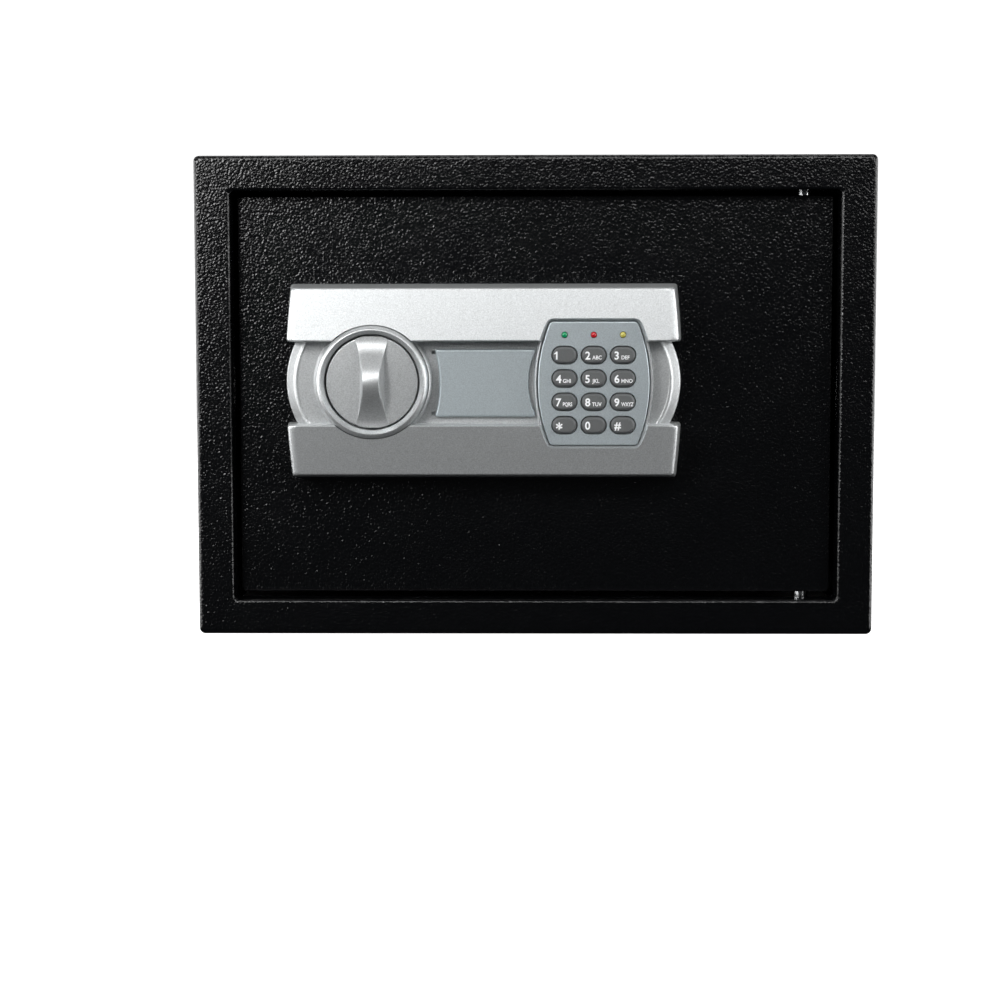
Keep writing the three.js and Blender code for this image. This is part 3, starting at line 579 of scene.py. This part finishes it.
def barrel(half_height, half_width, bulge, corner=2.2):
    """The keypad's outline: straight top and bottom, bowed sides."""
    def shape(inset):
        half = half_height - inset
        width = half_width - inset
        radius = (half_height ** 2 + bulge ** 2) / (2 * bulge)
        marks = [-half + 2 * half * k / 16 for k in range(17)]

        def across(v):
            return width + bulge - radius + math.sqrt(radius * radius - v * v)
        soft = max(corner - inset, 0.3)
        right = [(across(v), v, soft if k in (0, 16) else 0) for k, v in enumerate(marks)]
        left = [(-u, -v, r) for u, v, r in right]
        return [(KEYPAD.x + u, KEYPAD.z + v) for u, v in rounded(right + left, 5)]
    return shape


PLATE_SHAPE = barrel(31.4, 22.1, 6.3)
PLATE_RISE = 23.0
POCKET_FLOOR = PLATE_RISE - 3.3


def panel_housing():
    housing = pod("panel_cover")
    seat_profile = [(0, 0), (31.0, 0), (30.6, -16.6), (30.2, -17.6), (29.4, -18.6), (28.6, -19.0), (0, -19.0)]
    seat = turned("seat", seat_profile, (KNOB.x, FACE, KNOB.z), sides=96)
    rim_stations = [(-3.4, 0), (-2.5, 15), (-1.9, 21.4), (-1.75, 22.0), (-1.4, 22.5), (-1.0, 22.6)]
    rim = loft("rim", [flat_ring(PLATE_SHAPE(inset), at_rise(rise)) for inset, rise in rim_stations])
    combine(housing, "UNION", bar(1, "upper_bar"), bar(-1, "lower_bar"), seat, rim)

    well = turned("well", [(0, -40), (29.1, -40), (29.1, -15), (0, -15)], (KNOB.x, FACE, KNOB.z), sides=96)
    mouth = [(-0.35, POCKET_FLOOR), (-0.35, 21.3), (-0.5, 21.9), (-2.0, 24.6), (-2.4, 26.5), (-2.4, 34)]
    pocket = loft("pocket", [flat_ring(PLATE_SHAPE(inset), at_rise(rise)) for inset, rise in mouth])
    bay = slab("bay", rectangle(KEYPAD.x - 27.6, KEYPAD.x + 27.6, KEYPAD.z - 31.6, KEYPAD.z + 31.6, 2),
               at_rise(13.5), at_rise(-1), SHARP)
    window = slab("window", rectangle(KEYPAD.x - 22, KEYPAD.x + 22, KEYPAD.z - 29, KEYPAD.z + 29, 3),
                  at_rise(23), at_rise(10), SHARP)
    shaft = slab("shaft", circle(KNOB.x, KNOB.z, 7), at_rise(30), at_rise(-1), SHARP)
    lock = slab("lock", circle(PANEL_X, PANEL_Z, 10), at_rise(20), at_rise(-1), SHARP)
    cover = middle("key_cover")
    notches = [slab("notch", rectangle(PANEL_X - 26.4, PANEL_X - 23.4, cover.z + s * 15.6 - 0.9,
                                       cover.z + s * 15.6 + 0.9, 0.3), at_rise(18), at_rise(12), SHARP)
               for s in (-1, 1)]
    combine(housing, "DIFFERENCE", well, pocket, bay, window, shaft, lock, *notches)
    return place(housing, "door", "silver_paint", "panel_housing")


def bezel_ring():
    """The ring about the knob: a soft ridge with an inner and an outer slope."""
    profile = [(24.4, -15.4), (24.4, -24.2), (24.7, -24.8), (26.0, -26.9), (26.5, -27.3), (27.0, -27.2),
               (27.9, -26.5), (28.5, -25.6), (28.8, -24.4), (28.8, -15.4)]
    rings = [[(KNOB.x + x, FACE + along, KNOB.z + z) for x, z in circle(0, 0, radius, 128)(0)]
             for radius, along in profile]
    return place(loft("bezel_ring", rings, closed=True), "door", "silver_paint", "knob_bezel", crease=40)


def key_cover():
    """The plate over the emergency key lock, hollowed at both ends."""
    low, high = cad("key_cover")
    half = (high.z - low.z) / 2
    level = (high.z + low.z) / 2

    def shape(inset):
        h = half - inset
        left_radius, right_radius = 63 + inset, 38.5 + inset
        turn_left, turn_right = math.asin(h / left_radius), math.asin(h / right_radius)
        left = arc(PANEL_X - 85.4, level, left_radius, turn_left, -turn_left, 20)
        right = arc(PANEL_X + 61.8, level, right_radius, math.pi + turn_right, math.pi - turn_right, 20)
        soft = max(1.0 - inset, 0.2)
        corners = [(x, z, soft if k in (0, 20) else 0) for k, (x, z) in enumerate(left)]
        corners += [(x, z, soft if k in (0, 20) else 0) for k, (x, z) in enumerate(right)]
        return rounded(corners, 4)

    return place(slab("lock_lid", shape, low.y, high.y, 1.2), "key_cover", "satin_plate", "key_cover")


# ---------------------------------------------------------------- keypad
KEY_LABELS = {
    "1": "", "2": "ABC", "3": "DEF", "4": "GHI", "5": "JKL", "6": "MNO",
    "7": "PQRS", "8": "TUV", "9": "WXYZ", "star": "", "0": "", "hash": "",
}
SYMBOLS = {"star": "*", "hash": "#"}
KEY_WIDTH, KEY_HEIGHT = 12.5, 8.6


def keypad_plate():
    plate = slab("keypad_face", PLATE_SHAPE, KEYPAD.y - 1.5, KEYPAD.y + 1.5, 0.6, 0.2)
    cuts = []
    front = KEYPAD.y - 1.5
    for label in KEY_LABELS:
        spot = middle("key_" + label)
        shape = pill(spot.x, spot.z, KEY_WIDTH + 0.8, KEY_HEIGHT + 0.8)
        stations = [(-0.2, front - 1), (-0.2, front - 0.01), (0.0, front + 0.2), (0.0, front + 5)]
        cuts.append(loft("hole", [flat_ring(shape(inset), y) for inset, y in stations]))
    for colour in ("green", "red", "yellow"):
        spot = middle("led_" + colour)
        cuts.append(slab("hole", circle(spot.x, spot.z, 1.7, 32), front - 1, front + 5, SHARP))
    combine(plate, "DIFFERENCE", *cuts)
    return place(plate, "door", "satin_plate", "keypad_plate")


def text_mesh(name, words, size, left, base, front, narrow, bold):
    """Flat letters as a thin mesh, their lower left corner at (left, base)."""
    curve = bpy.data.curves.new(name, "FONT")
    curve.body = words
    curve.size = size * MM
    curve.extrude = 0.06 * MM
    curve.offset = bold * MM
    curve.resolution_u = 4
    made = bpy.data.objects.new(name, curve)
    scene.collection.objects.link(made)
    dg = bpy.context.evaluated_depsgraph_get()
    mesh = bpy.data.meshes.new_from_object(made.evaluated_get(dg))
    bpy.data.objects.remove(made)
    shift = min(v.co.x for v in mesh.vertices)
    turn = Matrix.Translation(Vector((left, front, base)) * MM) @ Matrix.Rotation(math.pi / 2, 4, "X")
    mesh.transform(turn @ Matrix.Diagonal((narrow, 1, 1, 1)) @ Matrix.Translation((-shift, 0, 0)))
    return mesh


def flag_mesh(left, top, front):
    """The slanting stroke that leads up to the stem of the figure 1."""
    mesh = bpy.data.meshes.new("flag")
    outline = [(left + 0.1, top), (left - 0.2, top - 0.5), (left - 0.95, top - 0.95),
               (left - 0.95, top - 1.5), (left + 0.1, top - 1.2)]
    mesh.from_pydata([(x * MM, front * MM, z * MM) for x, z in outline], [], [tuple(range(len(outline)))])
    return mesh


SYMBOL_SIZE, STAR_SIZE, LETTER_SIZE = 5.6, 8.0, 2.75
MARK_LEFT, MARK_DROP, STAR_DROP, LETTERS_LEFT = 4.4, 2.1, 4.4, 0.85  # from the key's middle
INK_LIFT, FLAG_LIFT = 0.03, 0.09  # the flag lies level with the front of the thicker letters


def key(label, letters):
    low, high = cad("key_" + label)
    spot = (low + high) / 2
    body = "key_" + label
    shape = pill(spot.x, spot.z, KEY_WIDTH, KEY_HEIGHT)
    front = low.y
    stations = [(1.25, front), (1.1, front + 0.03), (0.95, front + 0.12), (0.35, front + 0.72),
                (0.15, front + 1.0), (0.03, front + 1.35), (0, front + 1.7), (0, high.y)]
    button = loft("button_" + label, [flat_ring(shape(inset), y) for inset, y in stations])
    place(button, body, "key_grey", "key_" + label, crease=40)

    work = bmesh.new()
    symbol = SYMBOLS.get(label, label)
    size, base = SYMBOL_SIZE, spot.z - MARK_DROP
    if label == "star":
        size, base = STAR_SIZE, spot.z - STAR_DROP
    texts = [text_mesh("symbol", symbol, size, spot.x - MARK_LEFT, base, front - INK_LIFT, 0.97, 0.14)]
    if letters:
        texts.append(text_mesh("letters", letters, LETTER_SIZE, spot.x - LETTERS_LEFT, spot.z - MARK_DROP,
                               front - INK_LIFT, 0.9 if len(letters) < 4 else 0.74, 0.06))
    if label == "1":
        texts.append(flag_mesh(spot.x - MARK_LEFT, base + 4.0, front - FLAG_LIFT))
    for mesh in texts:
        work.from_mesh(mesh)
        bpy.data.meshes.remove(mesh)
    mesh = bpy.data.meshes.new("marks_" + label)
    work.to_mesh(mesh)
    work.free()
    mesh.materials.clear()
    mesh.materials.append(INK)
    for face in mesh.polygons:
        face.material_index = 0
    marks = bpy.data.objects.new("marks_" + label, mesh)
    scene.collection.objects.link(marks)
    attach(marks, body)


def led(colour):
    low, high = cad("led_" + colour)
    spot = middle("led_" + colour)
    dome = [(1.5 * math.sin(t), -1.1 * math.cos(t)) for t in [math.pi / 2 * k / 8 for k in range(9)]]
    front = low.y + 0.1
    profile = [(radius, front + 1.1 + along - spot.y) for radius, along in dome]
    profile.append((1.5, high.y - spot.y))
    lamp = turned("lamp_" + colour, profile, spot, sides=32)
    return place(lamp, "door", "led_" + colour, "led_" + colour, crease=60)


# ---------------------------------------------------------------- knob
DISC_RADIUS = 23.5
DISC_RISE = 23.0
GRIP_RISE = 33.0
GRIP_END, GRIP_WAIST = 9.0, 4.7


def knob():
    """A round disc with a saddle-shaped grip across it, which swells out of the disc at both ends."""
    disc = turned("knob_grip", [
        (0, DISC_RISE), (DISC_RADIUS - 0.7, DISC_RISE), (DISC_RADIUS - 0.2, DISC_RISE - 0.25),
        (DISC_RADIUS, DISC_RISE - 0.8), (DISC_RADIUS, 16), (0, 16)], (KNOB.x, FACE, KNOB.z), sides=128)
    disc.data.transform(Matrix.Translation((0, FACE * MM, 0)) @ Matrix.Diagonal((1, -1, 1, 1))
                        @ Matrix.Translation((0, -FACE * MM, 0)))
    disc.data.flip_normals()

    steps_z, steps_x = 56, 14
    half_length = DISC_RADIUS - 0.35
    rows = []
    for j in range(steps_z + 1):
        t = -1 + 2 * j / steps_z
        z = half_length * t
        pull = abs(t) ** 2
        half = min(GRIP_WAIST + (GRIP_END - GRIP_WAIST) * pull,
                   math.sqrt(max(DISC_RADIUS ** 2 - z * z, 0.01)) - 0.05)
        half = max(half, 0.3)
        swell = math.cos(math.pi / 2 * min(abs(t) / 0.93, 1)) ** 2
        height = DISC_RISE + 0.3 + (GRIP_RISE - DISC_RISE - 0.3) * swell
        foot = 0.14 * (height - DISC_RISE) + 0.2
        section = [(-half - foot, DISC_RISE - 1.5), (-half - foot, DISC_RISE - 0.05)]
        for i in range(steps_x + 1):
            s = -1 + 2 * i / steps_x
            edge = max(0.0, (abs(s) - 0.86) / 0.14)
            crown = (height - DISC_RISE) * (1 - 0.03 * s * s - 0.09 * edge ** 2)
            section.append((half * s, DISC_RISE + crown))
        section += [(half + foot, DISC_RISE - 0.05), (half + foot, DISC_RISE - 1.5)]
        rows.append([(KNOB.x + x, at_rise(rise), KNOB.z + z) for x, rise in section])
    grip = loft("grip", rows)
    combine(disc, "UNION", grip)
    bore = slab("bore", circle(KNOB.x, KNOB.z, 6.3), at_rise(21), FACE, SHARP)
    combine(disc, "DIFFERENCE", bore)
    return place(disc, "knob", "silver_paint", "knob", crease=38)


# ---------------------------------------------------------------- behind the door
def drum(name, radius, low, high, place_at, axis, edge=0.5, sides=64):
    """A rod with rounded ends between two places on an axis."""
    start = Vector(place_at)
    start["XYZ".index(axis)] = low
    return turned(name, softened(high - low, radius, edge), start, axis, sides)


def sliding_bolt(node_name, name):
    low, high = cad(node_name)
    spot = middle(node_name)
    radius = (high.z - low.z) / 2
    length = high.x - low.x
    profile = [(0, 0), (radius - 2.2, 0), (radius - 1.7, 0.15), (radius - 0.2, 1.8), (radius, 2.4),
               (radius, length), (0, length)]
    piece = turned(name, profile, (low.x, spot.y, spot.z), "X")
    return place(piece, "bolt_carriage", "polished_steel", node_name)


def guide_bracket():
    low, high = cad("bolt_guide_bracket")
    wall = box_shape("bolt_guide", low, (low.x + 3, high.y, high.z), 0.5)
    foot = box_shape("foot", (low.x + 2, low.y, PANEL_Z - 24), (high.x, low.y + 2.5, PANEL_Z + 24), 0.5)
    combine(wall, "UNION", foot)
    bores = []
    for node_name in ("lower_bolt", "upper_bolt"):
        spot = middle(node_name)
        bores.append(drum("bore", 9.4, low.x - 2, low.x + 5, spot, "X", SHARP))
    rivets = [drum("rivet", 2.2, low.y + 1, low.y + 3.3, (high.x - 4, 0, PANEL_Z + v), "Y", 0.6, 32)
              for v in (-16, 16)]
    combine(wall, "DIFFERENCE", *bores)
    combine(wall, "UNION", *rivets)
    return place(wall, "door", "zinc", "bolt_guide_bracket")


def screw_head(index):
    """A pan-head screw with a cross recess."""
    node_name = "cover_screw_%d" % index
    low, high = cad(node_name)
    spot = middle(node_name)
    seat = high.y - 2.4
    screw = turned("screw_%d" % index, [
        (0, low.y), (2, low.y), (2, seat), (4, seat), (4, seat + 0.5), (3.7, seat + 1.3),
        (2.8, seat + 1.95), (1.5, seat + 2.3), (0, high.y)], (spot.x, 0, spot.z), sides=40)
    recess = [box_shape("recess", (spot.x - a, seat + 1.1, spot.z - b),
                        (spot.x + a, high.y + 1, spot.z + b), 0.1)
              for a, b in ((2.3, 0.45), (0.45, 2.3))]
    combine(screw, "DIFFERENCE", *recess)
    return place(screw, "door", "polished_steel", node_name)


def inner_cover():
    """The moulded cover over the lock's works, with its screw flange and battery opening."""
    low, high = cad("lock_cover")
    flange = 8
    cover = slab("inner_cover", rectangle(low.x, high.x, low.z + flange, high.z - flange, 5),
                 low.y, high.y, 0.1, 3.0, 6)
    rim = slab("rim", rectangle(low.x, high.x, low.z, high.z, 5), low.y, low.y + 2, 0.1, 0.8)
    combine(cover, "UNION", rim)
    bay_low, bay_high = cad("battery_cover")
    carriage_back = cad("carriage_plate")[1].y
    button = middle("reset_button")
    cuts = [
        slab("hollow", rectangle(low.x + 2, high.x - 2, low.z + flange + 2, high.z - flange - 2, 1),
             low.y - 3, high.y - 2, SHARP),
        slab("bay", rectangle(bay_low.x - 0.4, bay_high.x + 0.4, bay_low.z - 0.4, bay_high.z + 0.4, 1.5),
             high.y - 3, high.y + 1, SHARP),
        slab("button", circle(button.x, button.z, 3.4), high.y - 3, high.y + 1, SHARP),
        box_shape("mouth", (low.x - 1, low.y - 5, PANEL_Z - 14.5),
                  (low.x + 3, carriage_back + 3, PANEL_Z + 21.5), 0.2),
    ]
    for index in (1, 2, 3, 4):
        spot = middle("cover_screw_%d" % index)
        cuts.append(slab("hole", circle(spot.x, spot.z, 2.3), low.y - 1, low.y + 3, SHARP))
    combine(cover, "DIFFERENCE", *cuts)
    return place(cover, "door", "black_plastic", "lock_cover")


def battery_lid():
    low, high = cad("battery_cover")
    lid = slab("battery_lid", rectangle(low.x, high.x, low.z, high.z, 1.3), low.y, high.y, 0.2, 0.4)
    ribs = [slab("rib", pill((low.x + high.x) / 2, high.z - 10 - 3.2 * k, 26 - 5 * k, 1.6, 6),
                 high.y - 0.5, high.y + 0.7, 0.01, 0.5) for k in range(4)]
    combine(lid, "UNION", *ribs)
    return place(lid, "battery_cover", "black_plastic", "battery_cover")


def battery_cell(index):
    """A wrapped cell with its bare metal ends; every second one stands on its head."""
    node_name = "battery_%d" % index
    low, high = cad(node_name)
    spot = middle(node_name)
    half = (high.z - low.z) / 2
    way = 1 if index % 2 else -1
    wrap = [(0, -half + 0.25), (6.2, -half + 0.25), (7.0, -half + 0.4), (7.25, -half + 1.0),
            (7.25, half - 2.0), (7.0, half - 1.4), (5.6, half - 1.1), (0, half - 1.1)]
    if way < 0:
        wrap = [(radius, -along) for radius, along in reversed(wrap)]
    cell = turned("cell_%d" % index, wrap, spot, "Z", 48)
    place(cell, "door", "battery_wrap", node_name)
    ends = [(2.7, half - 1.2, half), (5.6, -half, -half + 0.4)]
    for k, (radius, bottom, top) in enumerate(ends):
        span = sorted((spot.z + way * bottom, spot.z + way * top))
        end = drum("cell_%d_end_%d" % (index, k + 1), radius, span[0], span[1], spot, "Z", 0.15, 40)
        place(end, "door", "polished_steel")


def key_lock():
    low, high = cad("lock_barrel")
    spot = middle("lock_barrel")
    barrel_piece = drum("barrel", (high.z - low.z) / 2, low.y, high.y, spot, "Y", 0.7, 96)
    combine(barrel_piece, "DIFFERENCE", drum("bore", 5.3, low.y - 2, high.y + 2, spot, "Y", SHARP))
    place(barrel_piece, "door", "brass", "lock_barrel")
    plug_low, plug_high = cad("key_plug")
    plug = drum("plug", 5, plug_low.y, plug_high.y - 1.8, spot, "Y", 0.5)
    cam = slab("cam", pill(0, 0, 26, 8), plug_high.y - 2, plug_high.y, 0.2, 0.2)
    turn = Matrix.Translation((spot.x * MM, 0, (spot.z - 9) * MM)) @ Matrix.Rotation(math.pi / 2, 4, "Y")
    cam.data.transform(turn)
    combine(plug, "UNION", cam)
    keyway = [box_shape("keyway", (spot.x - a, plug_low.y - 1, spot.z - b),
                        (spot.x + a, plug_low.y + 9, spot.z + c), 0.1)
              for a, b, c in ((0.6, 3.5, 3.5), (1.2, -0.6, 2.0))]
    combine(plug, "DIFFERENCE", *keyway)
    place(plug, "key_plug", "polished_steel", "key_plug")


def reset():
    low, high = cad("reset_button")
    spot = middle("reset_button")
    piece = drum("reset_cap", 3, low.y, high.y, spot, "Y", 0.9, 40)
    place(piece, "reset_button", "reset_red", "reset_button")


# ---------------------------------------------------------------- stage and light
def stage_material(name, colour, glow):
    material = blank_material(name, colour, 0.9)
    shader = material.node_tree.nodes["Principled BSDF"]
    shader.inputs["Emission Color"].default_value = (1, 1, 1, 1)
    shader.inputs["Emission Strength"].default_value = glow
    return material


def backdrop():
    """A pale floor and a white room about it, which the camera sees but the safe doesn't mirror."""
    corners = [(x, y, z) for x in (-9000, 9000) for y in (-9000, 9000) for z in (-3000, 9000)]
    walls = [(0, 1, 3, 2), (4, 6, 7, 5), (0, 4, 5, 1), (2, 3, 7, 6), (0, 2, 6, 4), (1, 5, 7, 3)]
    room = to_object("room", corners, walls)
    room.data.materials.append(stage_material("white_room", (0.9, 0.9, 0.9), 1.1))
    sheet = [(-8500, -8500, 0), (8500, -8500, 0), (8500, 8500, 0), (-8500, 8500, 0)]
    floor = to_object("studio_floor", sheet, [(0, 1, 2, 3)])
    floor.data.materials.append(stage_material("pale_floor", (0.5, 0.5, 0.5), 1.02))
    for item in (room, floor):
        item.visible_diffuse = False
        item.visible_glossy = False
        item.visible_transmission = False
    room.visible_shadow = False


def softbox(name, place_at, target, width, height, power):
    data = bpy.data.lights.new(name, "AREA")
    data.shape = "RECTANGLE"
    data.size, data.size_y = width, height
    data.energy = power
    lamp = bpy.data.objects.new(name, data)
    lamp.location = place_at
    lamp.rotation_euler = (Vector(target) - Vector(place_at)).to_track_quat("-Z", "Y").to_euler()
    scene.collection.objects.link(lamp)


def lighting():
    world = bpy.data.worlds.new("room_light")
    world.use_nodes = True
    world.node_tree.nodes["Background"].inputs["Color"].default_value = (0.9, 0.95, 1, 1)
    world.node_tree.nodes["Background"].inputs["Strength"].default_value = 0.035
    scene.world = world
    softbox("key", (-0.68, -1.12, 0.52), (-0.10, -0.12, 0.17), 0.4, 0.4, 6.5)
    softbox("top", (0.0, -1.05, 0.8), (0, -0.12, 0.15), 1.5, 0.42, 8)
    softbox("left_fill", (-1.0, -0.8, 0.2), (-0.1, -0.12, 0.14), 0.4, 0.6, 2)
    softbox("right_fill", (0.85, -0.95, 0.45), (0.1, -0.12, 0.14), 0.35, 0.5, 2)
    softbox("left_strip", (-1.1, -0.3, 0.25), (-0.1, -0.12, 0.13), 0.45, 1.0, 5)
    softbox("right_strip", (1.1, -0.42, 0.2), (0.1, -0.12, 0.13), 0.45, 1.0, 6)
    for side in (-1, 1):
        softbox("side_fill", (1.3 * side, 0.35, 0.3), (0.1 * side, 0.05, 0.12), 1.2, 1.0, 12)
        softbox("back_fill", (0.8 * side, 1.5, 0.5), (0.05 * side, 0.12, 0.15), 1.4, 1.0, 9)
    softbox("above", (0, 0.3, 1.6), (0, 0.1, 0.25), 1.8, 1.4, 10)


# ---------------------------------------------------------------- build
cabinet_shell()
back_panel()
floor_mat()
hinge_lug("upper_hinge_lug", "upper_hinge_bracket", 1)
hinge_lug("lower_hinge_lug", "lower_hinge_bracket", -1)
door_leaf()
hinge_pin("upper_hinge_pin")
hinge_pin("lower_hinge_pin")
panel_housing()
bezel_ring()
key_cover()
keypad_plate()
for key_label, key_letters in KEY_LABELS.items():
    key(key_label, key_letters)
for led_colour in ("green", "red", "yellow"):
    led(led_colour)
knob()

sliding_bolt("lower_bolt", "low_bolt")
sliding_bolt("upper_bolt", "high_bolt")
guide_bracket()
inner_cover()
battery_lid()
for number in (1, 2, 3, 4):
    screw_head(number)
    battery_cell(number)
key_lock()
reset()

CAD_FINISHES = {
    "knob_shaft": "zinc", "carriage_plate": "zinc", "guide_stud_1": "zinc", "guide_stud_2": "zinc",
    "solenoid_frame": "zinc", "solenoid_plunger": "polished_steel", "solenoid_coil": "copper",
    "battery_tray": "black_plastic", "key_mat": "silicone", "circuit_board": "circuit_board",
}
for node_name, finish in CAD_FINISHES.items():
    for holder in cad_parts[node_name].material_slots:
        holder.material = MATERIALS[finish]

backdrop()
lighting()
scene.view_settings.view_transform = "Standard"
